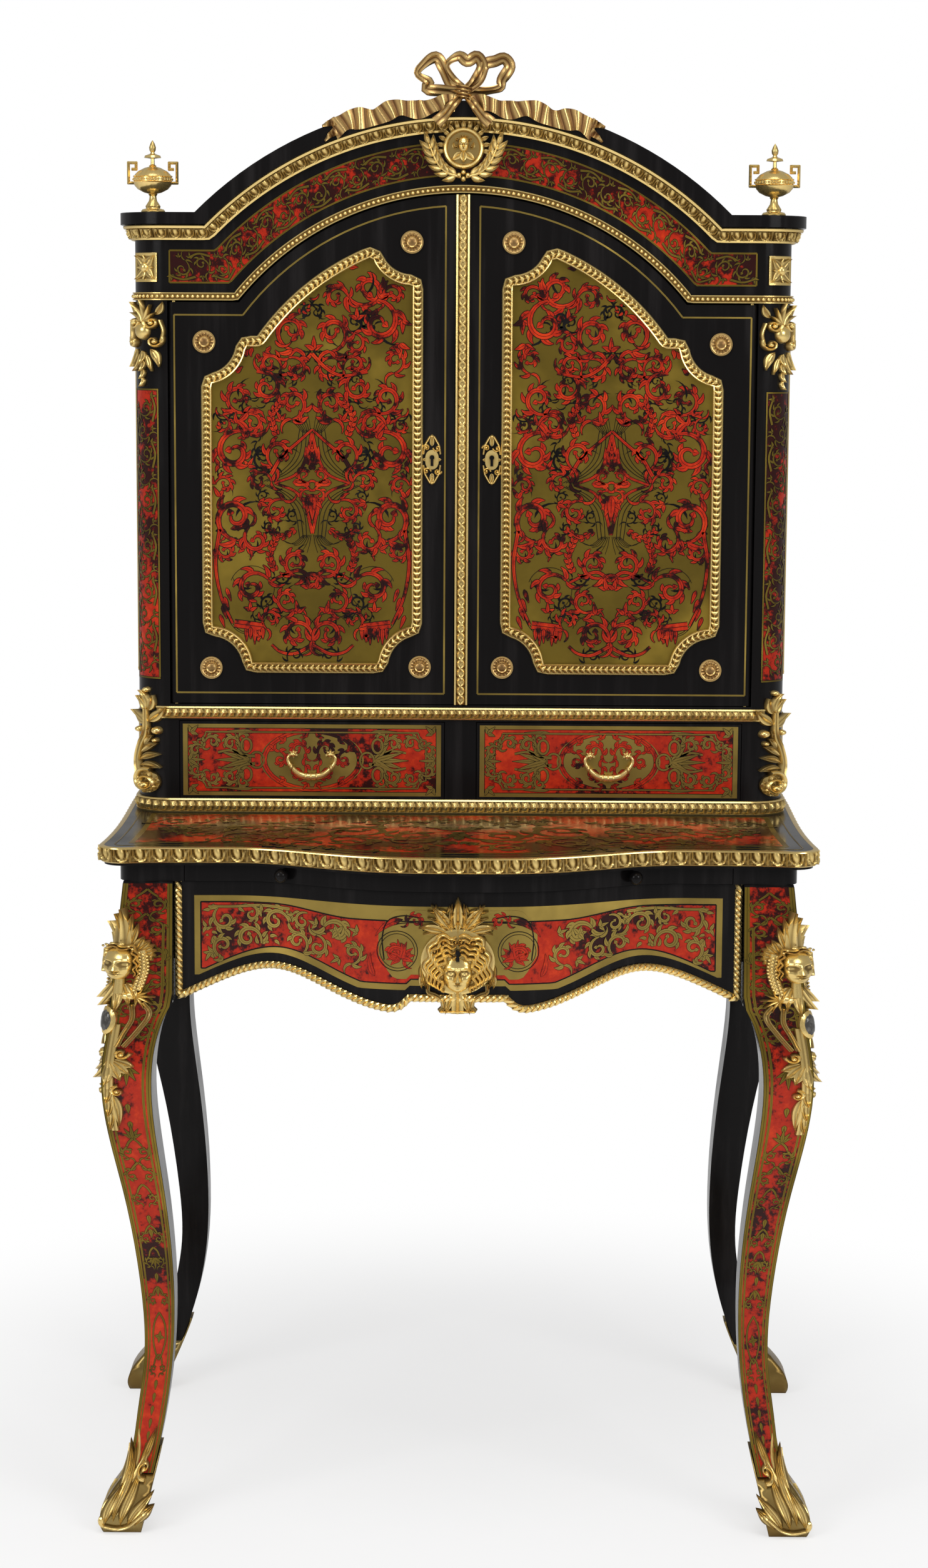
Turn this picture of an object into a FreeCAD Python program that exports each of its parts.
"""A Boulle-style writing cabinet: a serpentine writing table that carries an arched two-door cabinet.

Millimetres.  +Z is up, the front faces -Y, and +X is to the viewer's right.
The origin is the middle of the footprint, on the floor.
"""
import FreeCAD, Part
import math
import os

os.makedirs("parts", exist_ok=True)
Vec = FreeCAD.Vector

# Overall sizes
OVERALL_DEPTH = 560.0
TOP_WIDTH = 770.0
TABLE_HEIGHT = 758.0
CABINET_DEPTH = 243.0
TOP_BOARD = 20.0

# Serpentine front of the table top, seen from above
BULGE_DEPTH = 60.0
BULGE_SHARE = 0.6
BULGE_FLATNESS = 1.5
EAR_FORWARD = 9.0
EAR_LENGTH = 75.0
EAR_RADIUS = 21.0
WAIST = 5.0
WAIST_CURVE = [(0.3, 1.0), (0.6, 0.4), (0.85, 0.0)]
CURVE_POINTS = 16

# Brass rim of the top, the writing slide under it and its frame
RIM_THICKNESS = 7.0
RIM_HEIGHT = 17.0
BAND_INSET = 22.0
BAND_HEIGHT = 20.0
DUST_BOARD = 4.0
SLIDE_INSET = 11.5
SLIDE_BACK_GAP = 40.0
SLIDE_LIPPING = 18.0
FRAME_BACK_RAIL = 50.0
KNOB_FROM_END = 105.0
KNOB_RADIUS = 7.5
KNOB_LENGTH = 18.0
KNOB_STEM_SHARE = 0.5

# Legs: a square block over a limb whose two faces swing out from the block's faces.
# Each row is a share of the limb's height, the outer face's swing and the inner face's swing.
LEG_BLOCK = 53.0
LEG_BLOCK_HEIGHT = 129.0
LEG_OVERHANG = 27.0
LEG_INSET = 27.0
LIMB_SWING = [
    (1.0, 14.0, 0.0),
    (0.895, 22.0, 21.0),
    (0.767, 18.0, 20.0),
    (0.649, 4.0, 12.0),
    (0.447, -13.5, 3.5),
    (0.312, -16.0, 6.0),
    (0.2, -8.0, 14.5),
    (0.088, 9.0, 28.0),
    (0.024, 28.0, 37.0),
    (0.0085, 24.0, 40.0),
]
REAR_KICK = 24.0
REAR_KICK_SHARE = 0.34
REAR_LEG_SETBACK = 7.0
SABOT_ROWS = 4
SABOT_WALL = 2.0
BUST_BOTTOM_DROP = 267.0
BUST_SHOULDER_DROP = 112.0
BUST_TOP_DROP = 25.0
BUST_STEM = 8.0
BUST_SHOULDER = 20.0
BUST_NECK = 13.0
BUST_HEAD = 19.0

# Rails and the frieze drawer, whose levels hang from the underside of the band
RAIL_THICKNESS = 20.0
RAIL_SETBACK = 6.0
RAIL_HEIGHT = 112.0
RAIL_ARCH = 24.0
FRONT_THICKNESS = 22.0
APRON_END_DROP = 132.0
APRON_PEAK_DROP = 94.0
APRON_PEAK_FROM_LEG = 111.0
APRON_LOW_DROP = 130.0
APRON_LOW_X = 74.0
APRON_CENTRE_DROP = 118.0
APRON_CENTRE_X = 52.0
APRON_SCALLOP = 2.0
DRAWER_SIDE = 12.0
DRAWER_BOTTOM = 7.0
DRAWER_FLOOR_DROP = 78.0
DRAWER_CLEARANCE = 0.8
RUNNER_GAP = 0.3
RUNNER_HEIGHT = 16.0
FRIEZE_BOX_INSET = 11.0
FRIEZE_BOX_BACK_GAP = 88.0
FRIEZE_BOX_TOP_DROP = 6.0
ROPE = 7.0
MASK_WIDTH = 86.0
MASK_HEIGHT = 124.0
MASK_DEPTH = 20.0
MASK_OVALS = [(-0.5, 0.22), (-0.3, 0.72), (0.0, 1.0), (0.3, 0.88), (0.5, 0.3)]
LOCK_DEPTH = 12.0

# Cabinet carcass
BODY_INSET = 17.0
BODY_BACK_INSET = 10.0
BACK_PANEL = 8.0
POST_RADIUS = 39.0
SIDE_BOARD = 20.0
FLOOR_BOARD = 16.0
MID_BOARD = 19.0
DRAWER_TIER = 125.0
DOOR_FLOOR_GAP = 1.0
SMALL_DRAWER_INNER = 18.5
SMALL_DRAWER_POST_GAP = 10.5
SMALL_DRAWER_SIDE = 10.0
SMALL_DRAWER_FRONT = 18.0
SMALL_DRAWER_BACK_GAP = 13.0
SHELF_RISE = 208.0
SHELF_THICKNESS = 16.0
SHELF_SETBACK = 12.0
BATTEN = 14.0

# Arched front: every curve turns about one centre above the doors, and each band lies on the one below
ARCH_CENTRE_RISE = 248.0
OPENING_SHOULDER = 203.0
OPENING_INSET = 7.0
BEAD_WIDTH = 8.5
BEAD_HEIGHT = 7.5
FASCIA_WIDTH = 66.0
CORNICE_WIDTH = 16.0
CORNICE_HEIGHT = 17.0
CREST_THICKNESS = 17.0
CREST_HEIGHT = 13.0
FASCIA_THICKNESS = 20.0
CREST_OVERHANG = 16.0
CORNICE_PROUD = 14.0
BEAD_PROUD = 5.0
MID_MOULDING_HEIGHT = 13.5
MID_MOULDING_REACH = 19.0
MID_MOULDING_PROUD = 6.0
BASE_MOULDING_HEIGHT = 16.0
BASE_MOULDING_PROUD = 7.0

# Doors
DOOR_THICKNESS = 20.0
DOOR_SIDE_GAP = 0.6
DOOR_ARCH_GAP = 2.0
DOOR_MEETING_GAP = 1.0
PIVOT_INSET = 6.0
PIVOT_RADIUS = 2.5
PIVOT_DEPTH = 15.0
PIVOT_CLEARANCE = 0.05
ASTRAGAL_WIDTH = 14.8
ASTRAGAL_PROUD = 6.0
PANEL_POST_GAP = 37.0
PANEL_INNER = 43.5
PANEL_RISE = 34.5
PANEL_STEP_DROP = 38.5
PANEL_STEP_WIDTH = 63.0
PANEL_VENEER = 1.5
MOULDING_WIDTH = 12.3
MOULDING_PROUD = 7.0
NOTCH_RADIUS = 35.0
ROSETTE_RADIUS = 12.9
ROSETTE_CROWN_SHARE = 0.6
ROSETTE_PROUD = 5.0
TOP_ROSETTE_DROP = 54.0
ESCUTCHEON_X = 33.5
ESCUTCHEON_RISE = 276.0
ESCUTCHEON_WIDTH = 19.0
ESCUTCHEON_HEIGHT = 57.0
ESCUTCHEON_PROUD = 3.0
KEYHOLE_RADIUS = 3.0
KEYHOLE_SLOT = 9.0
LOCK_WIDTH = 52.0
LOCK_HEIGHT = 62.0

# Drop handles of the small drawers
BAIL_ABOVE_MIDDLE = 7.0
BAIL_DROP = 29.0
BAIL_HALF_SPAN = 28.0
BAIL_ROD = 2.6
BAIL_STANDOFF = 8.0
BAIL_POST_X = 21.0
BAIL_POST_RADIUS = 4.0
BAIL_STUB = 1.6
BAIL_STUB_GAP = 0.05

# Gilt ornaments
URN_INSET = 22.0
URN_HEIGHT = 80.0
URN_BOWL = 24.5
URN_RING = 8.5
URN_RING_SHARE = 0.64
URN_OUTLINE = [
    (0.0, 0.0),
    (0.62, 0.0),
    (0.62, 0.06),
    (0.25, 0.14),
    (0.25, 0.22),
    (0.75, 0.36),
    (1.0, 0.52),
    (0.95, 0.62),
    (0.55, 0.70),
    (0.60, 0.75),
    (0.30, 0.86),
    (0.10, 0.90),
    (0.16, 0.96),
    (0.0, 1.0),
]
BOW_RISE = 53.5
BOW_HALF_WIDTH = 58.0
BOW_TAIL_X = 150.0
BOW_TAIL_HEIGHT = 16.0
BOW_DEPTH = 10.0
BOW_RIBBON = 10.4
MEDALLION_DROP = 18.0
MEDALLION_RADIUS = 25.2
MEDALLION_PROUD = 20.0
LAUREL_HALF_WIDTH = 50.4
LAUREL_HALF_HEIGHT = 24.3
LAUREL_DROP = 14.0
LAUREL_PROUD = 8.0
PLAQUE_HEIGHT = 33.5
PLAQUE_DROP = 13.0
PLAQUE_SPREAD = 25.0
DROP_HEIGHT = 96.0
DROP_SPREAD = 34.0
SCROLL_RISE = 24.0
SCROLL_SPREAD = 26.0
MOUNT_THICKNESS = 6.0
MOUNT_SEAT = 0.15
MOUNT_GAP = 0.5

# Levels and planes of the table that follow from the sizes above
HALF_DEPTH = OVERALL_DEPTH / 2
HOLLOW_Y = -HALF_DEPTH + BULGE_DEPTH
BULGE_HALF_WIDTH = BULGE_SHARE * TOP_WIDTH / 2
EAR_START = TOP_WIDTH / 2 - EAR_RADIUS - EAR_LENGTH
TOP_UNDERSIDE = TABLE_HEIGHT - TOP_BOARD
BAND_BOTTOM = TOP_UNDERSIDE - BAND_HEIGHT
LEG_BLOCK_OUTER = TOP_WIDTH / 2 - LEG_OVERHANG
LEG_BLOCK_INNER = LEG_BLOCK_OUTER - LEG_BLOCK
LEG_FRONT_Y = HOLLOW_Y - EAR_FORWARD + LEG_INSET
LEG_BACK_Y = HALF_DEPTH - REAR_LEG_SETBACK
LIMB_HEIGHT = BAND_BOTTOM - LEG_BLOCK_HEIGHT
LEG_CURVE = [(BAND_BOTTOM, LEG_BLOCK_OUTER, LEG_BLOCK_INNER)]
for share, outer_swing, inner_swing in LIMB_SWING:
    LEG_CURVE.append((share * LIMB_HEIGHT, LEG_BLOCK_OUTER + outer_swing, LEG_BLOCK_INNER + inner_swing))
REAR_KICK_HEIGHT = REAR_KICK_SHARE * LIMB_HEIGHT
SABOT_TOP = LEG_CURVE[-SABOT_ROWS][0]
SLIDE_HALF_WIDTH = LEG_BLOCK_INNER - SLIDE_INSET
KNOB_X = SLIDE_HALF_WIDTH - KNOB_FROM_END
RAIL_BOTTOM = BAND_BOTTOM - RAIL_HEIGHT
APRON_END_Z = BAND_BOTTOM - APRON_END_DROP
APRON_PEAK_Z = BAND_BOTTOM - APRON_PEAK_DROP
APRON_PEAK_X = LEG_BLOCK_INNER - APRON_PEAK_FROM_LEG
APRON_LOW_Z = BAND_BOTTOM - APRON_LOW_DROP
APRON_CENTRE_Z = BAND_BOTTOM - APRON_CENTRE_DROP
DRAWER_FRONT_X = LEG_BLOCK_INNER - DRAWER_CLEARANCE
DRAWER_FLOOR_Z = BAND_BOTTOM - DRAWER_FLOOR_DROP
FRIEZE_BOX_HALF_WIDTH = LEG_BLOCK_INNER - FRIEZE_BOX_INSET
FRIEZE_BOX_BACK = LEG_BACK_Y - FRIEZE_BOX_BACK_GAP
FRIEZE_BOX_TOP = BAND_BOTTOM - FRIEZE_BOX_TOP_DROP

# Levels and planes of the cabinet that follow from the sizes above
BODY_HALF = TOP_WIDTH / 2 - BODY_INSET
BODY_BACK = HALF_DEPTH - BODY_BACK_INSET
BODY_FRONT = BODY_BACK - CABINET_DEPTH
CABINET_BACK = BODY_BACK + BACK_PANEL
POST_AXIS_X = BODY_HALF - POST_RADIUS
POST_AXIS_Y = BODY_FRONT + POST_RADIUS
SIDE_INNER = BODY_HALF - SIDE_BOARD
DRAWER_SPACE_BOTTOM = TABLE_HEIGHT + FLOOR_BOARD
DOOR_BOTTOM = TABLE_HEIGHT + DRAWER_TIER
MID_BOARD_TOP = DOOR_BOTTOM - DOOR_FLOOR_GAP
MID_BOARD_BOTTOM = MID_BOARD_TOP - MID_BOARD
MID_MOULDING_HALF = POST_AXIS_X + MID_MOULDING_REACH
SMALL_DRAWER_OUTER = POST_AXIS_X - SMALL_DRAWER_POST_GAP
SMALL_DRAWER_BACK = BODY_BACK - SMALL_DRAWER_BACK_GAP
BAIL_PIVOT_Z = (DRAWER_SPACE_BOTTOM + MID_BOARD_BOTTOM) / 2 + BAIL_ABOVE_MIDDLE
SHELF_Z = DOOR_BOTTOM + SHELF_RISE
ARCH_CENTRE_Z = DOOR_BOTTOM + ARCH_CENTRE_RISE
OPENING_RADIUS = POST_AXIS_X - OPENING_INSET
OPENING_Z = ARCH_CENTRE_Z + OPENING_SHOULDER
BEAD_RADIUS = OPENING_RADIUS + BEAD_WIDTH
BEAD_Z = OPENING_Z + BEAD_HEIGHT
CORNICE_RADIUS = OPENING_RADIUS + FASCIA_WIDTH
CORNICE_Z = OPENING_Z + FASCIA_WIDTH
CROWN_RADIUS = CORNICE_RADIUS + CORNICE_WIDTH
CROWN_Z = CORNICE_Z + CORNICE_HEIGHT
CREST_RADIUS = CROWN_RADIUS + CREST_THICKNESS
CREST_Z = CROWN_Z + CREST_HEIGHT
PIVOT_X = POST_AXIS_X - DOOR_SIDE_GAP - PIVOT_INSET
PIVOT_Y = BODY_FRONT + PIVOT_INSET
MEETING_X = -ASTRAGAL_WIDTH / 2
ESCUTCHEON_Z = DOOR_BOTTOM + ESCUTCHEON_RISE
PANEL_OUTER = POST_AXIS_X - PANEL_POST_GAP
PANEL_BOTTOM = DOOR_BOTTOM + PANEL_RISE
PANEL_STEP_Z = OPENING_Z - PANEL_STEP_DROP
PANEL_STEP_X = PANEL_OUTER - PANEL_STEP_WIDTH
ROSETTES = {
    "bottom_inner": (PANEL_INNER + 3, PANEL_BOTTOM + 8),
    "bottom_outer": (PANEL_OUTER - 10, PANEL_BOTTOM + 6),
    "top_outer": (PANEL_OUTER - 4, PANEL_STEP_Z - 7),
    "top_inner": (PANEL_INNER + 13, ARCH_CENTRE_Z + OPENING_RADIUS - TOP_ROSETTE_DROP),
}
URN_X = BODY_HALF - URN_INSET
BOW_TOP = ARCH_CENTRE_Z + CREST_RADIUS + BOW_RISE
MEDALLION_Z = ARCH_CENTRE_Z + CORNICE_RADIUS - MEDALLION_DROP
LAUREL_Z = MEDALLION_Z - LAUREL_DROP
PLAQUE_Z = (CORNICE_Z - PLAQUE_DROP - PLAQUE_HEIGHT, CORNICE_Z - PLAQUE_DROP)
DROP_Z = (OPENING_Z - MOUNT_GAP - DROP_HEIGHT, OPENING_Z - MOUNT_GAP)
SCROLL_Z = (TABLE_HEIGHT + BASE_MOULDING_HEIGHT + MOUNT_GAP, DOOR_BOTTOM + SCROLL_RISE)


def save(name, *solids):
    """Write one named piece, or one group of like pieces."""
    shape = solids[0] if len(solids) == 1 else Part.makeCompound(list(solids))
    shape.exportStep("parts/" + name + ".step")


def block(x0, x1, y0, y1, z0, z1):
    """A square block between two corners, given in any order."""
    low = Vec(min(x0, x1), min(y0, y1), min(z0, z1))
    return Part.makeBox(abs(x1 - x0), abs(y1 - y0), abs(z1 - z0), low)


def mirrored(shape):
    """The same piece on the other side of the middle."""
    return shape.mirror(Vec(0, 0, 0), Vec(1, 0, 0))


def line(a, b):
    """A straight edge."""
    return Part.LineSegment(a, b).toShape()


def arc(a, through, b):
    """A round edge through three points."""
    return Part.Arc(a, through, b).toShape()


def curve(points):
    """A smooth edge through points."""
    spline = Part.BSplineCurve()
    spline.interpolate(points)
    return spline.toShape()


def upright(edges, z0, z1):
    """A prism that stands on a closed outline drawn in plan."""
    face = Part.Face(Part.Wire(edges))
    face.translate(Vec(0, 0, z0))
    return face.extrude(Vec(0, 0, z1 - z0))


def facing(edges, y0, y1):
    """A prism that runs back from a closed outline drawn in front view."""
    face = Part.Face(Part.Wire(edges))
    face.translate(Vec(0, y0, 0))
    return face.extrude(Vec(0, y1 - y0, 0))


def rod(start, end, radius):
    """A round bar between two points."""
    return Part.makeCylinder(radius, (end - start).Length, start, end - start)


def front_y(x, inset):
    """The serpentine front line, moved back by an inset."""
    share = min(1.0, abs(x) / BULGE_HALF_WIDTH) ** BULGE_FLATNESS
    bulge = BULGE_DEPTH * 0.5 * (1 + math.cos(math.pi * share))
    ear_run = TOP_WIDTH / 2 - EAR_RADIUS - EAR_START
    ear = EAR_FORWARD * max(0.0, (abs(x) - EAR_START) / ear_run) ** 2
    return HOLLOW_Y - bulge - ear + inset


def front_curve(inset, x0, x1):
    """The serpentine front edge between two places."""
    steps = [x0 + (x1 - x0) * i / CURVE_POINTS for i in range(CURVE_POINTS + 1)]
    return curve([Vec(x, front_y(x, inset), 0) for x in steps])


def serpentine_sheet(inset, thickness, half_width, z0, z1):
    """An upright sheet whose faces both follow the serpentine front."""
    front = front_curve(inset, -half_width, half_width)
    back = front_curve(inset + thickness, half_width, -half_width)
    y_front = front_y(half_width, inset)
    right = line(Vec(half_width, y_front, 0), Vec(half_width, y_front + thickness, 0))
    left = line(Vec(-half_width, y_front + thickness, 0), Vec(-half_width, y_front, 0))
    return upright([front, right, back, left], z0, z1)


def top_outline(inset, back_y):
    """The table top seen from above: serpentine front, rounded ears, waisted sides, straight back."""
    ear_x = TOP_WIDTH / 2 - inset - EAR_RADIUS
    ear_y = front_y(ear_x, inset)
    side_x = ear_x + EAR_RADIUS
    side_y = ear_y + EAR_RADIUS
    chord = EAR_RADIUS * math.sqrt(0.5)
    edges = [front_curve(inset, -ear_x, ear_x)]
    for side in (1, -1):
        corner = arc(
            Vec(side * ear_x, ear_y, 0),
            Vec(side * (ear_x + chord), ear_y + EAR_RADIUS - chord, 0),
            Vec(side * side_x, side_y, 0),
        )
        points = [Vec(side * side_x, side_y, 0)]
        for along, depth in WAIST_CURVE:
            points.append(Vec(side * (side_x - WAIST * depth), side_y + (back_y - side_y) * along, 0))
        points.append(Vec(side * side_x, back_y, 0))
        edges += [corner, curve(points)]
    edges.append(line(Vec(side_x, back_y, 0), Vec(-side_x, back_y, 0)))
    return Part.__sortEdges__(edges)


def arch_outline(radius, shoulder_z, half_width, bottom_z):
    """A front-view outline with a round arch between two level shoulders."""
    spring = math.sqrt(radius ** 2 - (shoulder_z - ARCH_CENTRE_Z) ** 2)
    corners = [
        Vec(spring, 0, shoulder_z),
        Vec(half_width, 0, shoulder_z),
        Vec(half_width, 0, bottom_z),
        Vec(-half_width, 0, bottom_z),
        Vec(-half_width, 0, shoulder_z),
        Vec(-spring, 0, shoulder_z),
    ]
    edges = [line(a, b) for a, b in zip(corners, corners[1:])]
    edges.append(arc(corners[-1], Vec(0, 0, ARCH_CENTRE_Z + radius), corners[0]))
    return edges


def arched(radius, shoulder_z, half_width, y0, y1, bottom_z=TABLE_HEIGHT):
    """A solid under an arch with level shoulders."""
    return facing(arch_outline(radius, shoulder_z, half_width, bottom_z), y0, y1)


def body_plan(grow):
    """The cabinet body seen from above, with round front corners, grown outwards evenly."""
    half = BODY_HALF + grow
    front = BODY_FRONT - grow
    radius = POST_RADIUS + grow
    chord = radius * math.sqrt(0.5)
    edges = [line(Vec(-POST_AXIS_X, front, 0), Vec(POST_AXIS_X, front, 0))]
    for side in (1, -1):
        edges.append(arc(
            Vec(side * POST_AXIS_X, front, 0),
            Vec(side * (POST_AXIS_X + chord), POST_AXIS_Y - chord, 0),
            Vec(side * half, POST_AXIS_Y, 0),
        ))
        edges.append(line(Vec(side * half, POST_AXIS_Y, 0), Vec(side * half, CABINET_BACK, 0)))
    edges.append(line(Vec(half, CABINET_BACK, 0), Vec(-half, CABINET_BACK, 0)))
    return Part.__sortEdges__(edges)


def body_ring(proud, z0, z1):
    """A moulding round the front and sides of the cabinet body."""
    back_cut = block(-TOP_WIDTH, TOP_WIDTH, CABINET_BACK - 1, CABINET_BACK + 1, z0, z1)
    return upright(body_plan(proud), z0, z1).cut(upright(body_plan(0), z0, z1)).cut(back_cut)


def arched_moulding(proud, inner_radius, inner_z, outer_radius, outer_z):
    """A moulding that follows the arch in front and turns back along the sides."""
    y_front = BODY_FRONT - proud
    band = arched(outer_radius, outer_z, POST_AXIS_X, y_front, BODY_FRONT)
    band = band.cut(arched(inner_radius, inner_z, TOP_WIDTH, y_front, BODY_FRONT))
    ends = body_ring(proud, inner_z, outer_z)
    ends = ends.cut(block(-POST_AXIS_X, POST_AXIS_X, y_front, POST_AXIS_Y, inner_z, outer_z))
    return band.fuse(ends).removeSplitter().Solids[0]


def leg_at(z):
    """Outer and inner face of a leg at a height, between the rows of the leg curve."""
    for upper, lower in zip(LEG_CURVE, LEG_CURVE[1:]):
        if lower[0] <= z <= upper[0]:
            share = (z - lower[0]) / (upper[0] - lower[0])
            return tuple(low + (high - low) * share for low, high in zip(lower[1:], upper[1:]))
    return LEG_CURVE[-1][1:]


def square_loft(sections):
    """A smooth limb through level squares, each given as height, x range and y range."""
    wires = []
    for z, x0, x1, y0, y1 in sections:
        corners = [Vec(x0, y0, z), Vec(x1, y0, z), Vec(x1, y1, z), Vec(x0, y1, z), Vec(x0, y0, z)]
        wires.append(Part.makePolygon(corners))
    return Part.makeLoft(wires, True)


def leg(sections):
    """A leg: a plain tapered block at the top, which takes the rails, over a curved limb."""
    return square_loft(sections[:2]).fuse(square_loft(sections[1:])).removeSplitter().Solids[0]


def front_leg_sections(grow, top_z):
    """Squares of the right front leg, which sweeps out along the diagonal."""
    sections = []
    for z, outer, inner in LEG_CURVE:
        if z <= top_z:
            y_front = LEG_FRONT_Y - (outer - LEG_BLOCK_OUTER)
            y_back = LEG_FRONT_Y + LEG_BLOCK - (inner - LEG_BLOCK_INNER)
            sections.append((z, inner - grow, outer + grow, y_front - grow, y_back + grow))
    return sections


def rear_leg_sections(grow, top_z):
    """Squares of the right rear leg, which kicks out sideways and stays flat at the back."""
    sections = []
    for z, outer, inner in LEG_CURVE:
        if z <= top_z:
            kick = REAR_KICK * max(0.0, 1 - z / REAR_KICK_HEIGHT) ** 2
            y_front = LEG_BACK_Y - min(LEG_BLOCK, outer - inner)
            sections.append((z, inner + kick - grow, outer + kick + grow, y_front - grow, LEG_BACK_Y + grow))
    return sections


def sabot(sections, foot):
    """A brass shoe round the foot, with a sole under it."""
    z, x0, x1, y0, y1 = sections[-1]
    shoe = square_loft(sections[:-1] + [(0.0, x0, x1, y0, y1)])
    return shoe.cut(foot)


def make_legs():
    """Four curved legs, their brass shoes and the busts on the two front arrises."""
    top_z = LEG_CURVE[0][0]
    front = leg(front_leg_sections(0, top_z))
    rear = leg(rear_leg_sections(0, top_z))
    front_shoe = sabot(front_leg_sections(SABOT_WALL, SABOT_TOP), front)
    rear_shoe = sabot(rear_leg_sections(SABOT_WALL, SABOT_TOP), rear)
    save("front_leg_right", front)
    save("front_leg_left", mirrored(front))
    save("rear_leg_right", rear)
    save("rear_leg_left", mirrored(rear))
    save("sabots", front_shoe, mirrored(front_shoe), rear_shoe, mirrored(rear_shoe))
    bust = leg_bust().cut(front)
    save("leg_busts", bust, mirrored(bust))


def leg_bust():
    """A bust on a tapering stem, on the outer arris of the right front leg."""
    def arris(z):
        outer = leg_at(z)[0]
        return Vec(outer, LEG_FRONT_Y - (outer - LEG_BLOCK_OUTER), z)

    foot = arris(BAND_BOTTOM - BUST_BOTTOM_DROP)
    shoulder = arris(BAND_BOTTOM - BUST_SHOULDER_DROP)
    head = arris(BAND_BOTTOM - BUST_TOP_DROP - BUST_HEAD)
    stem = Part.makeCone(BUST_STEM, BUST_SHOULDER, (shoulder - foot).Length, foot, shoulder - foot)
    bust = stem.fuse(Part.makeSphere(BUST_SHOULDER, shoulder))
    bust = bust.fuse(rod(shoulder, head, BUST_NECK))
    return bust.fuse(Part.makeSphere(BUST_HEAD, head))


def make_top():
    """The table top, its brass rim and the frame that holds the writing slide."""
    board = upright(top_outline(RIM_THICKNESS, HALF_DEPTH), TOP_UNDERSIDE, TABLE_HEIGHT)
    rim_bottom = TABLE_HEIGHT - RIM_HEIGHT
    rim = upright(top_outline(0, HALF_DEPTH), rim_bottom, TABLE_HEIGHT).cut(board)
    save("table_top", board)
    save("top_rim", rim)
    band = upright(top_outline(BAND_INSET, LEG_BACK_Y), BAND_BOTTOM, TOP_UNDERSIDE)
    rail_y = LEG_BACK_Y - FRAME_BACK_RAIL
    right = band.common(block(SLIDE_HALF_WIDTH, TOP_WIDTH, -HALF_DEPTH, LEG_BACK_Y, BAND_BOTTOM, TOP_UNDERSIDE))
    back = block(-SLIDE_HALF_WIDTH, SLIDE_HALF_WIDTH, rail_y, LEG_BACK_Y, BAND_BOTTOM, TOP_UNDERSIDE)
    save("top_frame", right, mirrored(right), back)
    board_y = front_y(SLIDE_HALF_WIDTH, BAND_INSET) + SLIDE_LIPPING + DRAWER_CLEARANCE
    dust_top = BAND_BOTTOM + DUST_BOARD
    save("dust_board", block(-SLIDE_HALF_WIDTH, SLIDE_HALF_WIDTH, board_y, rail_y, BAND_BOTTOM, dust_top))


def make_slide():
    """The writing slide with its serpentine lipping and two turned knobs."""
    half = SLIDE_HALF_WIDTH - DRAWER_CLEARANCE
    z0 = BAND_BOTTOM + DUST_BOARD + RUNNER_GAP
    z1 = TOP_UNDERSIDE - RUNNER_GAP
    lipping = serpentine_sheet(BAND_INSET, SLIDE_LIPPING, half, BAND_BOTTOM + RUNNER_GAP, z1)
    back_y = LEG_BACK_Y - FRAME_BACK_RAIL - SLIDE_BACK_GAP
    front = front_curve(BAND_INSET + SLIDE_LIPPING, -half, half)
    side_y = front_y(half, BAND_INSET + SLIDE_LIPPING)
    corners = [Vec(half, side_y, 0), Vec(half, back_y, 0), Vec(-half, back_y, 0), Vec(-half, side_y, 0)]
    board = upright([front] + [line(a, b) for a, b in zip(corners, corners[1:])], z0, z1)
    save("writing_slide", board)
    save("slide_lipping", lipping)
    knob_z = (BAND_BOTTOM + TOP_UNDERSIDE) / 2
    face_y = front_y(KNOB_X, BAND_INSET)
    base = Vec(KNOB_X, face_y + SLIDE_LIPPING / 2, knob_z)
    centre = Vec(KNOB_X, face_y - KNOB_LENGTH + KNOB_RADIUS, knob_z)
    stem = rod(base, centre, KNOB_RADIUS * KNOB_STEM_SHARE)
    ball = Part.makeSphere(KNOB_RADIUS, centre)
    knob = stem.fuse(ball).cut(lipping)
    save("slide_knobs", knob, mirrored(knob))


def make_rails():
    """The side and back rails of the table and the runners of the frieze drawer."""
    y0 = LEG_FRONT_Y + LEG_BLOCK
    y1 = LEG_BACK_Y - LEG_BLOCK
    outer = LEG_BLOCK_OUTER - RAIL_SETBACK
    inner = outer - RAIL_THICKNESS
    arch_top = Vec(inner, (y0 + y1) / 2, RAIL_BOTTOM + RAIL_ARCH)
    outline = [
        arc(Vec(inner, y0, RAIL_BOTTOM), arch_top, Vec(inner, y1, RAIL_BOTTOM)),
        line(Vec(inner, y1, RAIL_BOTTOM), Vec(inner, y1, BAND_BOTTOM)),
        line(Vec(inner, y1, BAND_BOTTOM), Vec(inner, y0, BAND_BOTTOM)),
        line(Vec(inner, y0, BAND_BOTTOM), Vec(inner, y0, RAIL_BOTTOM)),
    ]
    side = Part.Face(Part.Wire(outline)).extrude(Vec(RAIL_THICKNESS, 0, 0))
    save("side_rails", side, mirrored(side))
    back_y = LEG_BACK_Y - RAIL_SETBACK
    save("back_rail", block(-LEG_BLOCK_INNER, LEG_BLOCK_INNER, back_y - RAIL_THICKNESS, back_y,
                            RAIL_BOTTOM, BAND_BOTTOM))
    runner_top = DRAWER_FLOOR_Z - RUNNER_GAP
    runner = block(FRIEZE_BOX_HALF_WIDTH - DRAWER_SIDE, inner, y0, y1, runner_top - RUNNER_HEIGHT, runner_top)
    guide = block(FRIEZE_BOX_HALF_WIDTH + DRAWER_CLEARANCE, inner, y0, y1, runner_top, FRIEZE_BOX_TOP)
    runner = runner.fuse(guide).removeSplitter().Solids[0]
    save("drawer_runners", runner, mirrored(runner))


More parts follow.
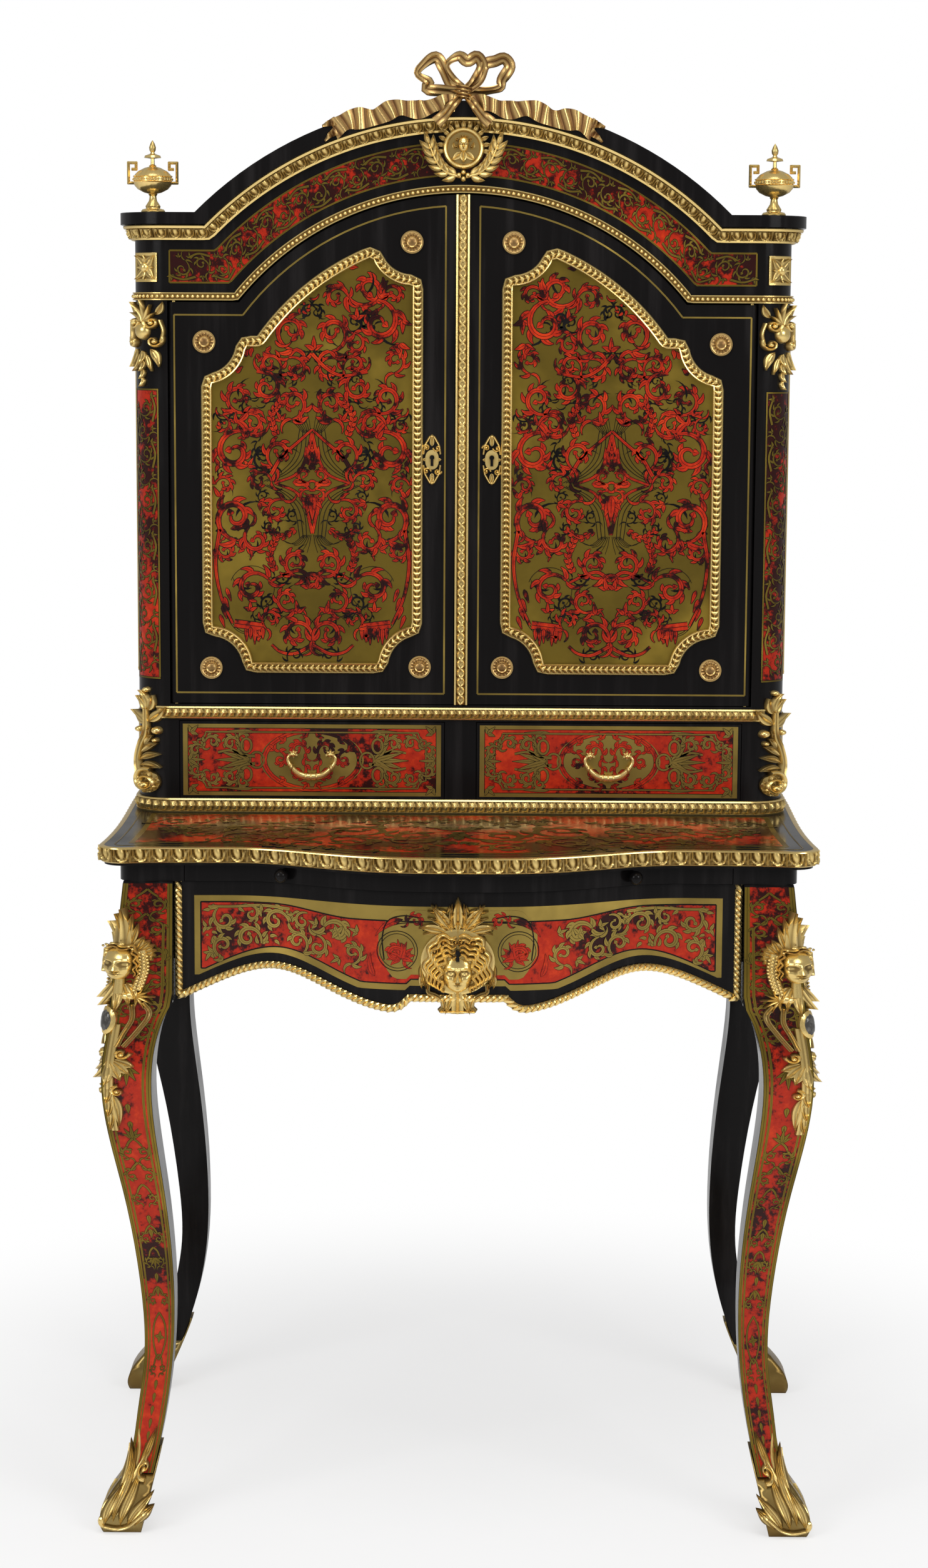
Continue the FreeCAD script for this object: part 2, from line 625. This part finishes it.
def apron_outline(raise_by, half_width):
    """The shaped lower edge of the frieze, closed along the top, in front view."""
    top_z = BAND_BOTTOM - DRAWER_CLEARANCE
    half_edge = [
        Vec(half_width, 0, APRON_END_Z + raise_by),
        Vec((half_width + APRON_PEAK_X) / 2, 0, (APRON_END_Z + APRON_PEAK_Z * 2) / 3 + raise_by),
        Vec(APRON_PEAK_X, 0, APRON_PEAK_Z + raise_by),
        Vec((APRON_PEAK_X + APRON_LOW_X) / 2, 0, (APRON_PEAK_Z + APRON_LOW_Z) / 2 + raise_by),
        Vec(APRON_LOW_X, 0, APRON_LOW_Z + raise_by),
    ]
    scallop = Vec((APRON_LOW_X + APRON_CENTRE_X) / 2, 0, APRON_LOW_Z + raise_by + APRON_SCALLOP)
    centre = Vec(APRON_CENTRE_X, 0, APRON_CENTRE_Z + raise_by)
    edges = []
    for side in (1, -1):
        edges.append(curve([Vec(side * p.x, 0, p.z) for p in half_edge]))
        edges.append(arc(
            Vec(side * half_edge[-1].x, 0, half_edge[-1].z),
            Vec(side * scallop.x, 0, scallop.z),
            Vec(side * centre.x, 0, centre.z),
        ))
        foot = Vec(side * half_width, 0, half_edge[0].z)
        edges.append(line(foot, Vec(side * half_width, 0, top_z)))
    edges.append(line(centre, Vec(-centre.x, 0, centre.z)))
    edges.append(line(Vec(half_width, 0, top_z), Vec(-half_width, 0, top_z)))
    return Part.__sortEdges__(edges)


def make_frieze_drawer():
    """The wide drawer with its shaped front, rope border, mask mount, lock and box."""
    half = DRAWER_FRONT_X
    top_z = BAND_BOTTOM - DRAWER_CLEARANCE
    sheet = serpentine_sheet(LEG_INSET, FRONT_THICKNESS, half, APRON_LOW_Z - TOP_BOARD, top_z)
    profile = facing(apron_outline(0, half), -HALF_DEPTH, 0)
    front = sheet.common(profile)
    save("frieze_drawer_front", front)
    skin = serpentine_sheet(LEG_INSET - ROPE, ROPE, half, APRON_LOW_Z - TOP_BOARD, top_z)
    inside = facing(apron_outline(ROPE, half - ROPE), -HALF_DEPTH, 0)
    gap_above = block(ROPE - half, half - ROPE, -HALF_DEPTH, 0, top_z - ROPE, TABLE_HEIGHT)
    mask = mask_mount().cut(sheet)
    save("drawer_mask", mask)
    save("apron_rope", *skin.common(profile).cut(inside).cut(gap_above).cut(mask).Solids)
    side_x = FRIEZE_BOX_HALF_WIDTH - DRAWER_SIDE
    ahead = serpentine_sheet(LEG_INSET - OVERALL_DEPTH, OVERALL_DEPTH + FRONT_THICKNESS, half, 0, TABLE_HEIGHT)
    side = block(side_x, FRIEZE_BOX_HALF_WIDTH, -HALF_DEPTH, FRIEZE_BOX_BACK, DRAWER_FLOOR_Z, FRIEZE_BOX_TOP)
    side = side.cut(ahead)
    bottom_y = FRIEZE_BOX_BACK - DRAWER_SIDE
    back = block(-side_x, side_x, bottom_y, FRIEZE_BOX_BACK, DRAWER_FLOOR_Z, FRIEZE_BOX_TOP)
    bottom = block(-side_x, side_x, -HALF_DEPTH, bottom_y, DRAWER_FLOOR_Z, DRAWER_FLOOR_Z + DRAWER_BOTTOM)
    bottom = bottom.cut(ahead)
    save("frieze_drawer_box", side, mirrored(side), back, bottom)
    lock_y = front_y(0, LEG_INSET + FRONT_THICKNESS)
    lock = block(-LOCK_WIDTH / 2, LOCK_WIDTH / 2, -HALF_DEPTH, lock_y + LOCK_DEPTH,
                 FRIEZE_BOX_TOP - LOCK_HEIGHT, FRIEZE_BOX_TOP)
    save("frieze_lock", lock.cut(ahead))


def mask_mount():
    """A domed oval boss for the mask over the keyhole."""
    centre_z = APRON_LOW_Z + MASK_HEIGHT / 2
    centre_y = front_y(0, LEG_INSET)
    wires = []
    for height, width in MASK_OVALS:
        z = centre_z + height * MASK_HEIGHT
        ring = Part.Ellipse(Vec(0, centre_y, z), width * MASK_WIDTH / 2, width * MASK_DEPTH)
        wires.append(Part.Wire(ring.toShape()))
    return Part.makeLoft(wires, True)


def make_carcass():
    """The boards of the cabinet body, from the floor on the table top to the arched crest."""
    post = upright([
        arc(
            Vec(POST_AXIS_X, BODY_FRONT, 0),
            Vec(POST_AXIS_X + POST_RADIUS * math.sqrt(0.5), POST_AXIS_Y - POST_RADIUS * math.sqrt(0.5), 0),
            Vec(BODY_HALF, POST_AXIS_Y, 0),
        ),
        line(Vec(BODY_HALF, POST_AXIS_Y, 0), Vec(POST_AXIS_X, POST_AXIS_Y, 0)),
        line(Vec(POST_AXIS_X, POST_AXIS_Y, 0), Vec(POST_AXIS_X, BODY_FRONT, 0)),
    ], TABLE_HEIGHT, CROWN_Z)
    side = block(SIDE_INNER, BODY_HALF, POST_AXIS_Y, BODY_BACK, TABLE_HEIGHT, CROWN_Z)
    save("corner_post_right", post)
    save("corner_post_left", mirrored(post))
    save("cabinet_right_side", side)
    save("cabinet_left_side", mirrored(side))
    inside = block(-SIDE_INNER, SIDE_INNER, POST_AXIS_Y, BODY_BACK, TABLE_HEIGHT, CREST_Z)
    inside = inside.fuse(block(-POST_AXIS_X, POST_AXIS_X, BODY_FRONT, POST_AXIS_Y, TABLE_HEIGHT, CREST_Z))
    inside = inside.removeSplitter()
    everywhere = (-TOP_WIDTH, TOP_WIDTH, BODY_FRONT, BODY_BACK)
    save("cabinet_floor", inside.common(block(*everywhere, TABLE_HEIGHT, DRAWER_SPACE_BOTTOM)))
    mid = inside.common(block(*everywhere, MID_BOARD_BOTTOM, MID_BOARD_TOP))
    pins = [pivot_pin(side, MID_BOARD_TOP) for side in (1, -1)]
    pins += [pivot_pin(side, OPENING_Z) for side in (1, -1)]
    for pin in pins:
        mid = mid.cut(pin)
    save("mid_board", mid)
    save("pivot_pins", *pins)
    stile = SMALL_DRAWER_INNER - DRAWER_CLEARANCE
    partition = block(-stile, stile, BODY_FRONT, BODY_BACK, DRAWER_SPACE_BOTTOM, MID_BOARD_BOTTOM)
    guide = inside.common(block(SMALL_DRAWER_OUTER + DRAWER_CLEARANCE, TOP_WIDTH, BODY_FRONT, BODY_BACK,
                                DRAWER_SPACE_BOTTOM, MID_BOARD_BOTTOM))
    save("drawer_dividers", partition, guide, mirrored(guide))
    save("back_panel", arched(CROWN_RADIUS, CROWN_Z, BODY_HALF, BODY_BACK, CABINET_BACK))
    opening = arched(OPENING_RADIUS, OPENING_Z, TOP_WIDTH, BODY_FRONT, BODY_FRONT + FASCIA_THICKNESS)
    fascia = arched(CROWN_RADIUS, CROWN_Z, POST_AXIS_X, BODY_FRONT, BODY_FRONT + FASCIA_THICKNESS)
    fascia = fascia.cut(opening)
    for pin in pins:
        fascia = fascia.cut(pin)
    save("fascia", fascia)
    crest_front = BODY_FRONT - CREST_OVERHANG
    crest_half = BODY_HALF + CREST_OVERHANG
    crest = arched(CREST_RADIUS, CREST_Z, crest_half, crest_front, CABINET_BACK)
    crest = crest.cut(arched(CROWN_RADIUS, CROWN_Z, TOP_WIDTH, crest_front, CABINET_BACK))
    save("cornice_cap", crest.common(upright(body_plan(CREST_OVERHANG), TABLE_HEIGHT, BOW_TOP)))
    shelf_front = BODY_FRONT + DOOR_THICKNESS + SHELF_SETBACK
    shelf_top = SHELF_Z + SHELF_THICKNESS
    save("shelf", inside.common(block(-TOP_WIDTH, TOP_WIDTH, shelf_front, BODY_BACK, SHELF_Z, shelf_top)))
    batten = block(SIDE_INNER - BATTEN, SIDE_INNER, POST_AXIS_Y, BODY_BACK, SHELF_Z - BATTEN, SHELF_Z)
    save("shelf_battens", batten, mirrored(batten))


def pivot_pin(side, seat_z):
    """A brass pin that stands half in the carcass and half in a door."""
    centre = Vec(side * PIVOT_X, PIVOT_Y, seat_z)
    reach = Vec(0, 0, PIVOT_DEPTH)
    return rod(centre - reach, centre + reach, PIVOT_RADIUS)


def make_mouldings():
    """The gilt mouldings of the cabinet."""
    save("cornice_moulding", arched_moulding(CORNICE_PROUD, CORNICE_RADIUS, CORNICE_Z, CROWN_RADIUS, CROWN_Z))
    save("fascia_bead", arched_moulding(BEAD_PROUD, OPENING_RADIUS, OPENING_Z, BEAD_RADIUS, BEAD_Z))
    mid_z = (MID_BOARD_BOTTOM + MID_BOARD_TOP - MID_MOULDING_HEIGHT) / 2
    mid = body_ring(MID_MOULDING_PROUD, mid_z, mid_z + MID_MOULDING_HEIGHT)
    reach = block(-MID_MOULDING_HALF, MID_MOULDING_HALF, BODY_FRONT - MID_MOULDING_PROUD, POST_AXIS_Y,
                  mid_z, mid_z + MID_MOULDING_HEIGHT)
    mid = mid.common(reach)
    save("mid_moulding", mid)
    base_top = TABLE_HEIGHT + BASE_MOULDING_HEIGHT
    save("base_moulding", body_ring(BASE_MOULDING_PROUD, TABLE_HEIGHT, base_top))
    mounts = []
    for low_high, spread in ((PLAQUE_Z, PLAQUE_SPREAD), (DROP_Z, DROP_SPREAD), (SCROLL_Z, SCROLL_SPREAD)):
        mount = post_mount(*low_high, spread).cut(mid)
        mounts += [mount, mirrored(mount)]
    save("corner_mounts", *mounts)


def post_mount(z0, z1, spread):
    """A curved gilt plate on the rounded corner post, centred on its diagonal."""
    axis = Vec(POST_AXIS_X, POST_AXIS_Y, z0)
    inner_radius = POST_RADIUS + MOUNT_SEAT
    outer = Part.makeCylinder(POST_RADIUS + MOUNT_THICKNESS, z1 - z0, axis, Vec(0, 0, 1), 2 * spread)
    plate = outer.cut(Part.makeCylinder(inner_radius, z1 - z0, axis))
    plate.rotate(axis, Vec(0, 0, 1), -45 - spread)
    return plate


def door_blank(x_hinge_side, x_free, side):
    """A flat door under the arch, with a bored pivot and a rounded hinge arris."""
    y0 = BODY_FRONT
    y1 = BODY_FRONT + DOOR_THICKNESS
    chord = PIVOT_INSET * math.sqrt(0.5)
    edge_x = x_hinge_side * side
    arris = arc(
        Vec(edge_x - side * PIVOT_INSET, y0, 0),
        Vec(edge_x - side * (PIVOT_INSET - chord), y0 + PIVOT_INSET - chord, 0),
        Vec(edge_x, y0 + PIVOT_INSET, 0),
    )
    corners = [
        Vec(edge_x, y0 + PIVOT_INSET, 0),
        Vec(edge_x, y1, 0),
        Vec(x_free, y1, 0),
        Vec(x_free, y0, 0),
        Vec(edge_x - side * PIVOT_INSET, y0, 0),
    ]
    plan = [arris] + [line(a, b) for a, b in zip(corners, corners[1:])]
    door = upright(plan, DOOR_BOTTOM, ARCH_CENTRE_Z + OPENING_RADIUS)
    arch = arched(OPENING_RADIUS - DOOR_ARCH_GAP, OPENING_Z - DOOR_ARCH_GAP, TOP_WIDTH, y0, y1, DOOR_BOTTOM)
    door = door.common(arch)
    for seat_z in (MID_BOARD_TOP, OPENING_Z):
        centre = Vec(side * PIVOT_X, PIVOT_Y, seat_z)
        reach = Vec(0, 0, PIVOT_DEPTH + DOOR_FLOOR_GAP)
        door = door.cut(rod(centre - reach, centre + reach, PIVOT_RADIUS + PIVOT_CLEARANCE))
    return door


def panel_outline():
    """The framed field of the right door: an arch with a hollow round each rosette."""
    def hollow(name, from_angle, to_angle):
        x, z = ROSETTES[name]
        middle = (from_angle + to_angle) / 2
        points = []
        for angle in (from_angle, middle, to_angle):
            turn = math.radians(angle)
            points.append(Vec(x + NOTCH_RADIUS * math.cos(turn), 0, z + NOTCH_RADIUS * math.sin(turn)))
        return points

    def angle_at_x(name, x):
        return math.degrees(math.acos((x - ROSETTES[name][0]) / NOTCH_RADIUS))

    def angle_at_z(name, z):
        return math.degrees(math.asin((z - ROSETTES[name][1]) / NOTCH_RADIUS))

    bottom_inner = hollow("bottom_inner", angle_at_x("bottom_inner", PANEL_INNER),
                          angle_at_z("bottom_inner", PANEL_BOTTOM))
    bottom_outer = hollow("bottom_outer", 180 - angle_at_z("bottom_outer", PANEL_BOTTOM),
                          angle_at_x("bottom_outer", PANEL_OUTER))
    top_outer = hollow("top_outer", 360 - angle_at_x("top_outer", PANEL_OUTER),
                       180 - angle_at_z("top_outer", PANEL_STEP_Z))
    top_inner = hollow("top_inner", 0, -angle_at_x("top_inner", PANEL_INNER))
    step = Vec(PANEL_STEP_X, 0, PANEL_STEP_Z)
    arch_start = math.atan2(step.z - ARCH_CENTRE_Z, step.x)
    arch_end = math.atan2(top_inner[0].z - ARCH_CENTRE_Z, top_inner[0].x)
    start_radius = math.hypot(step.x, step.z - ARCH_CENTRE_Z)
    end_radius = math.hypot(top_inner[0].x, top_inner[0].z - ARCH_CENTRE_Z)
    middle = (arch_start + arch_end) / 2
    radius = (start_radius + end_radius) / 2
    crown = Vec(radius * math.cos(middle), 0, ARCH_CENTRE_Z + radius * math.sin(middle))
    return [
        arc(*bottom_inner),
        line(bottom_inner[-1], bottom_outer[0]),
        arc(*bottom_outer),
        line(bottom_outer[-1], top_outer[0]),
        arc(*top_outer),
        line(top_outer[-1], step),
        arc(step, crown, top_inner[0]),
        arc(*top_inner),
        line(top_inner[-1], bottom_inner[0]),
    ]


def make_doors():
    """Two doors with veneered panels, gilt frames, rosettes, escutcheons, one astragal and one lock."""
    hinge_edge = PIVOT_X + PIVOT_INSET
    right = door_blank(hinge_edge, MEETING_X, 1)
    left = door_blank(hinge_edge, MEETING_X - DOOR_MEETING_GAP, -1)
    field = Part.Face(Part.Wire(Part.__sortEdges__(panel_outline())))
    inner_field = field.makeOffset2D(-MOULDING_WIDTH)
    frame = field.cut(inner_field)
    frame.translate(Vec(0, BODY_FRONT, 0))
    moulding = frame.extrude(Vec(0, -MOULDING_PROUD, 0)).Solids[0]
    inner_field.translate(Vec(0, BODY_FRONT, 0))
    panel = inner_field.extrude(Vec(0, PANEL_VENEER, 0)).Solids[0]
    lock_y = BODY_FRONT + DOOR_THICKNESS - LOCK_DEPTH
    lock = block(MEETING_X, ESCUTCHEON_X + LOCK_WIDTH / 2, lock_y, BODY_FRONT + DOOR_THICKNESS,
                 ESCUTCHEON_Z - LOCK_HEIGHT / 2, ESCUTCHEON_Z + LOCK_HEIGHT / 2)
    save("door_lock", lock)
    save("right_door", right.cut(panel).cut(lock))
    save("left_door", left.cut(mirrored(panel)))
    save("right_door_panel", panel)
    save("left_door_panel", mirrored(panel))
    save("right_door_moulding", moulding)
    save("left_door_moulding", mirrored(moulding))
    mounts = door_mounts()
    save("right_door_mounts", *mounts)
    save("left_door_mounts", *[mirrored(mount) for mount in mounts])
    astragal_top = ARCH_CENTRE_Z + OPENING_RADIUS - DOOR_ARCH_GAP
    strip = block(MEETING_X, -MEETING_X, BODY_FRONT - ASTRAGAL_PROUD, BODY_FRONT, DOOR_BOTTOM, astragal_top)
    arch = arched(OPENING_RADIUS - DOOR_ARCH_GAP, OPENING_Z, TOP_WIDTH, BODY_FRONT - ASTRAGAL_PROUD, BODY_FRONT)
    save("astragal", strip.common(arch))


def door_mounts():
    """Four domed rosettes and the keyhole plate of the right door."""
    mounts = []
    toward_viewer = Vec(0, -1, 0)
    for x, z in ROSETTES.values():
        crown_radius = ROSETTE_RADIUS * ROSETTE_CROWN_SHARE
        seat = Vec(x, BODY_FRONT, z)
        mounts.append(Part.makeCone(ROSETTE_RADIUS, crown_radius, ROSETTE_PROUD, seat, toward_viewer))
    y_plate = BODY_FRONT - ESCUTCHEON_PROUD
    plate = block(ESCUTCHEON_X - ESCUTCHEON_WIDTH / 2, ESCUTCHEON_X + ESCUTCHEON_WIDTH / 2, y_plate, BODY_FRONT,
                  ESCUTCHEON_Z - ESCUTCHEON_HEIGHT / 2, ESCUTCHEON_Z + ESCUTCHEON_HEIGHT / 2)
    hole_end = Vec(ESCUTCHEON_X, BODY_FRONT, ESCUTCHEON_Z)
    hole = rod(Vec(ESCUTCHEON_X, y_plate, ESCUTCHEON_Z), hole_end, KEYHOLE_RADIUS)
    slot = block(ESCUTCHEON_X - KEYHOLE_RADIUS / 2, ESCUTCHEON_X + KEYHOLE_RADIUS / 2, y_plate, BODY_FRONT,
                 ESCUTCHEON_Z - KEYHOLE_SLOT, ESCUTCHEON_Z)
    mounts.append(plate.cut(hole.fuse(slot)))
    return mounts


def make_small_drawers():
    """Two small drawers with dovetailed boxes and drop handles."""
    z0 = DRAWER_SPACE_BOTTOM + RUNNER_GAP
    z1 = MID_BOARD_BOTTOM - DRAWER_CLEARANCE
    x0 = SMALL_DRAWER_INNER
    x1 = SMALL_DRAWER_OUTER
    box_y = BODY_FRONT + SMALL_DRAWER_FRONT
    front = block(x0, x1, BODY_FRONT, box_y, z0, z1)
    wall = SMALL_DRAWER_SIDE
    box_top = z1 - DRAWER_CLEARANCE
    box = [
        block(x0, x0 + wall, box_y, SMALL_DRAWER_BACK, z0, box_top),
        block(x1 - wall, x1, box_y, SMALL_DRAWER_BACK, z0, box_top),
        block(x0 + wall, x1 - wall, SMALL_DRAWER_BACK - wall, SMALL_DRAWER_BACK, z0, box_top),
        block(x0 + wall, x1 - wall, box_y, SMALL_DRAWER_BACK - wall, z0, z0 + DRAWER_BOTTOM),
    ]
    centre_x = (x0 + x1) / 2
    bail, posts = drop_handle(centre_x)
    for name, turn in (("right", lambda shape: shape), ("left", mirrored)):
        save(name + "_drawer_front", turn(front))
        save(name + "_drawer_box", *[turn(board) for board in box])
        save(name + "_bail", turn(bail))
        save(name + "_bail_posts", *[turn(post) for post in posts])


def drop_handle(centre_x):
    """A curved bail whose inward stubs turn in two round posts."""
    y = BODY_FRONT - BAIL_STANDOFF
    left = Vec(centre_x - BAIL_HALF_SPAN, y, BAIL_PIVOT_Z)
    right = Vec(centre_x + BAIL_HALF_SPAN, y, BAIL_PIVOT_Z)
    low = Vec(centre_x, y, BAIL_PIVOT_Z - BAIL_DROP + BAIL_ROD)
    path = Part.Wire([arc(left, low, right)])
    tangent = path.Edges[0].tangentAt(path.Edges[0].FirstParameter)
    bail = path.makePipeShell([Part.Wire(Part.makeCircle(BAIL_ROD, left, tangent))], True, False)
    posts = []
    for side, end in ((-1, left), (1, right)):
        bail = bail.fuse(Part.makeSphere(BAIL_ROD, end))
        post_x = centre_x + side * BAIL_POST_X
        inner = Vec(post_x - side * BAIL_POST_RADIUS * 0.5, y, BAIL_PIVOT_Z)
        bail = bail.fuse(rod(inner, end, BAIL_STUB))
        post = rod(Vec(post_x, BODY_FRONT, BAIL_PIVOT_Z), Vec(post_x, y, BAIL_PIVOT_Z), BAIL_POST_RADIUS)
        post = post.fuse(Part.makeSphere(BAIL_POST_RADIUS, Vec(post_x, y, BAIL_PIVOT_Z)))
        bore_start = Vec(post_x - side * BAIL_POST_RADIUS * 0.5 - side * BAIL_STUB_GAP, y, BAIL_PIVOT_Z)
        post = post.cut(rod(bore_start, end, BAIL_STUB + BAIL_STUB_GAP))
        posts.append(post)
    return bail.removeSplitter(), posts


def make_ornaments():
    """Urns on the shoulders, the bow on the crest and the laurel medallion on the fascia."""
    urn = urn_finial()
    save("urns", urn, mirrored(urn))
    crest_top = ARCH_CENTRE_Z + CREST_RADIUS
    y0 = BODY_FRONT - CREST_OVERHANG
    y1 = y0 + BOW_DEPTH
    crest = arched(CREST_RADIUS, CREST_Z, TOP_WIDTH, y0, y1)
    tails = arched(CREST_RADIUS + BOW_TAIL_HEIGHT, CREST_Z, TOP_WIDTH, y0, y1)
    tails = tails.common(block(-BOW_TAIL_X, BOW_TAIL_X, y0, y1, CREST_Z, BOW_TOP))
    loop_half_height = (BOW_TOP - crest_top) / 2
    loop_z = crest_top + loop_half_height
    bow = tails.cut(crest)
    for side in (1, -1):
        centre = Vec(side * BOW_HALF_WIDTH / 2, y0, loop_z)
        outer = ribbon_loop(centre, BOW_HALF_WIDTH / 2, loop_half_height, y1 - y0)
        inner = ribbon_loop(centre, BOW_HALF_WIDTH / 2 - BOW_RIBBON, loop_half_height - BOW_RIBBON, y1 - y0)
        bow = bow.fuse(outer.cut(inner))
    knot = block(-BOW_RIBBON, BOW_RIBBON, y0, y1, crest_top, loop_z + BOW_RIBBON)
    save("bow_crest", bow.fuse(knot).cut(crest).removeSplitter().Solids[0])
    y_disc = BODY_FRONT - MEDALLION_PROUD
    disc = rod(Vec(0, y_disc, MEDALLION_Z), Vec(0, BODY_FRONT, MEDALLION_Z), MEDALLION_RADIUS)
    spray = ribbon_loop(Vec(0, BODY_FRONT - LAUREL_PROUD, LAUREL_Z), LAUREL_HALF_WIDTH, LAUREL_HALF_HEIGHT,
                        LAUREL_PROUD)
    cornice = arched(CROWN_RADIUS, CROWN_Z, POST_AXIS_X, BODY_FRONT - CORNICE_PROUD, BODY_FRONT)
    cornice = cornice.cut(arched(CORNICE_RADIUS, CORNICE_Z, TOP_WIDTH, BODY_FRONT - CORNICE_PROUD, BODY_FRONT))
    save("medallion", disc.fuse(spray).cut(cornice).removeSplitter().Solids[0])


def ribbon_loop(centre, half_width, half_height, depth):
    """An oval plate that faces the viewer."""
    major = max(half_width, half_height)
    minor = min(half_width, half_height)
    along = Vec(1, 0, 0) if half_width >= half_height else Vec(0, 0, 1)
    across = Vec(0, 0, 1) if half_width >= half_height else Vec(1, 0, 0)
    oval = Part.Ellipse(centre + along * major, centre + across * minor, centre).toShape()
    plate = Part.Face(Part.Wire(oval))
    return plate.extrude(Vec(0, depth, 0))


def urn_finial():
    """A turned urn with two ring handles on the right shoulder of the crest."""
    centre_y = BODY_FRONT - CREST_OVERHANG + POST_RADIUS
    points = [Vec(URN_X + r * URN_BOWL, centre_y, CREST_Z + z * URN_HEIGHT) for r, z in URN_OUTLINE]
    edges = [line(a, b) for a, b in zip(points, points[1:])]
    edges.append(line(points[-1], points[0]))
    profile = Part.Face(Part.Wire(edges))
    urn = profile.revolve(Vec(URN_X, centre_y, 0), Vec(0, 0, 1), 360)
    for side in (1, -1):
        ring_centre = Vec(URN_X + side * URN_BOWL, centre_y, CREST_Z + URN_HEIGHT * URN_RING_SHARE)
        ring = Part.makeTorus(URN_RING, URN_RING / 4, ring_centre, Vec(0, 1, 0))
        urn = urn.fuse(ring)
    return urn


make_top()
make_slide()
make_legs()
make_rails()
make_frieze_drawer()
make_carcass()
make_mouldings()
make_doors()
make_small_drawers()
make_ornaments()
